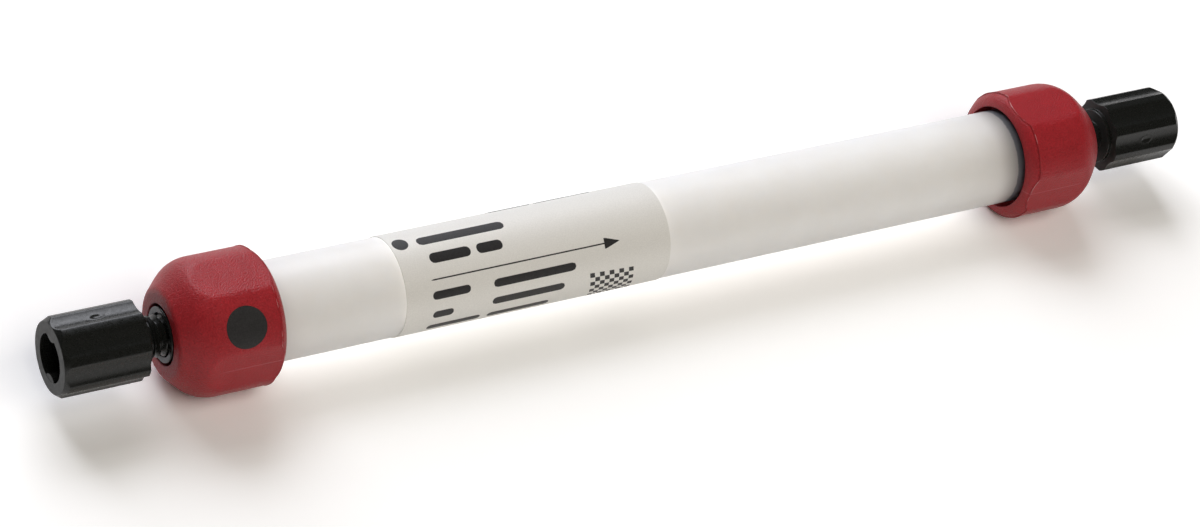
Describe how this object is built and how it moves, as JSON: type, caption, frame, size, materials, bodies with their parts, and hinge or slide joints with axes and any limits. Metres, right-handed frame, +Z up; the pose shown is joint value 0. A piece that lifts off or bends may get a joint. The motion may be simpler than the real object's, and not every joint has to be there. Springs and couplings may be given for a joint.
{
  "type": "pre-packed chromatography column",
  "caption": "Slim lab column with a milky plastic tube, a wrap-round label, red end caps with flats, and black fluted stop plugs in its threaded ports.",
  "frame": {"origin": "middle of the column on its axis", "axes": "+X along the column's axis in the direction of flow, from inlet to outlet; +Z up, with the column lying on the lower flats of its two end caps"},
  "size_m": [0.1511, 0.0148, 0.0148],
  "materials": {
    "milky_tube": "milky translucent polypropylene, satin",
    "resin": "fine wet beads, off-white",
    "silver_label": "matt silver-grey film label",
    "porous_disc": "sintered porous plastic",
    "grey_adaptor": "moulded dark grey plastic, smooth glossy face",
    "red_cap": "spark-eroded satin red polypropylene",
    "black_plug": "glossy black moulded plastic"
  },
  "bodies": {
    "column": {"column_tube": "milky_tube", "resin_bed": "resin", "column_label": "silver_label", "inlet_filter": "porous_disc", "inlet_adaptor": "grey_adaptor", "inlet_cap": "red_cap", "outlet_filter": "porous_disc", "outlet_adaptor": "grey_adaptor", "outlet_cap": "red_cap"},
    "inlet_plug": {"inlet_stop_plug": "black_plug"},
    "outlet_plug": {"outlet_stop_plug": "black_plug"}
  },
  "joints": [
    {"name": "inlet_plug_out", "type": "slide", "parent": "column", "child": "inlet_plug", "axis": [-1, 0, 0], "range_m": [0, 0.012]},
    {"name": "outlet_plug_out", "type": "slide", "parent": "column", "child": "outlet_plug", "axis": [1, 0, 0], "range_m": [0, 0.012]}
  ]
}
